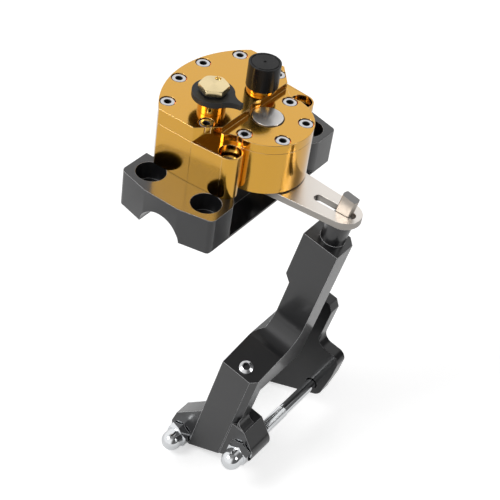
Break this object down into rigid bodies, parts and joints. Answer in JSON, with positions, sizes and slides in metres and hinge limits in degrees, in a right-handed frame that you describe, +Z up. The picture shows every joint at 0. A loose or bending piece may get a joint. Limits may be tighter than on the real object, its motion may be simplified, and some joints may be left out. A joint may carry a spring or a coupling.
{
  "type": "motorcycle steering damper",
  "caption": "Rotary vane steering damper with adjuster knobs on a handlebar clamp block, with a slotted link arm over the pin of a frame-clamp tower.",
  "frame": {"origin": "on the axis of the handlebar, under the middle of the clamp block", "axes": "+X from the handlebar towards the tower pin, +Y along the handlebar, +Z up along the damper shaft"},
  "size_m": [0.1326, 0.1343, 0.2536],
  "materials": {
    "black_anodised": "machined and black anodised",
    "gold_anodised": "polished and gold anodised",
    "bright_steel": "bright stainless",
    "turned_steel": "turned",
    "brushed_steel": "brushed",
    "chrome": "polished chrome plate",
    "brass": "polished",
    "bronze": "plain bearing bronze",
    "black_knob": "turned and black anodised",
    "rubber": "nitrile rubber"
  },
  "bodies": {
    "damper": {"bar_clamp": "black_anodised", "housing": "gold_anodised", "lid": "gold_anodised", "upper_lid_screws": "bright_steel", "lower_lid_screws": "bright_steel", "mounting_screws": "bright_steel", "lid_seal": "rubber", "upper_bush": "bronze", "lower_bush": "bronze", "upper_shaft_seal": "rubber", "lower_shaft_seal": "rubber", "base_valve_post": "gold_anodised", "sweep_valve_collar": "gold_anodised"},
    "arm": {"damper_shaft": "turned_steel", "vane": "turned_steel", "vane_seal": "rubber", "link_arm": "brushed_steel", "arm_washer": "bright_steel", "arm_screw": "bright_steel"},
    "base_adjuster": {"pointer": "black_knob", "base_knob": "brass", "base_needle": "turned_steel", "base_oring": "rubber"},
    "sweep_adjuster": {"sweep_knob": "black_knob", "sweep_spindle": "turned_steel", "sweep_oring": "rubber"},
    "pin": {"tower_pin": "turned_steel"},
    "tower": {"tower": "black_anodised", "pin_bush": "bronze", "rear_jaw": "black_anodised", "clamp_bolts": "chrome", "clamp_washers": "chrome", "acorn_nuts": "chrome", "shelf_screw": "bright_steel"}
  },
  "joints": [
    {"name": "arm_swing", "type": "hinge", "parent": "damper", "child": "arm", "pos_m": [0.0206, 0, 0.04], "axis": [0, 0, 1], "range_deg": [-45, 45]},
    {"name": "base_adjust", "type": "hinge", "parent": "damper", "child": "base_adjuster", "pos_m": [-0.0039, -0.0215, 0.0718], "axis": [0, 0, 1], "range_deg": [-150, 150]},
    {"name": "sweep_adjust", "type": "hinge", "parent": "damper", "child": "sweep_adjuster", "pos_m": [0.004, 0.0156, 0.0678], "axis": [0, 0, 1], "range_deg": [-150, 150]},
    {"name": "pin_slide", "type": "slide", "parent": "arm", "child": "pin", "axis": [1, 0, 0], "range_m": [-0.012, 0.0005]},
    {"name": "tower_swivel", "type": "hinge", "parent": "pin", "child": "tower", "pos_m": [0.0804, 0, 0.0246], "axis": [0.1822, 0, 0.9833], "range_deg": [-40, 40]}
  ]
}
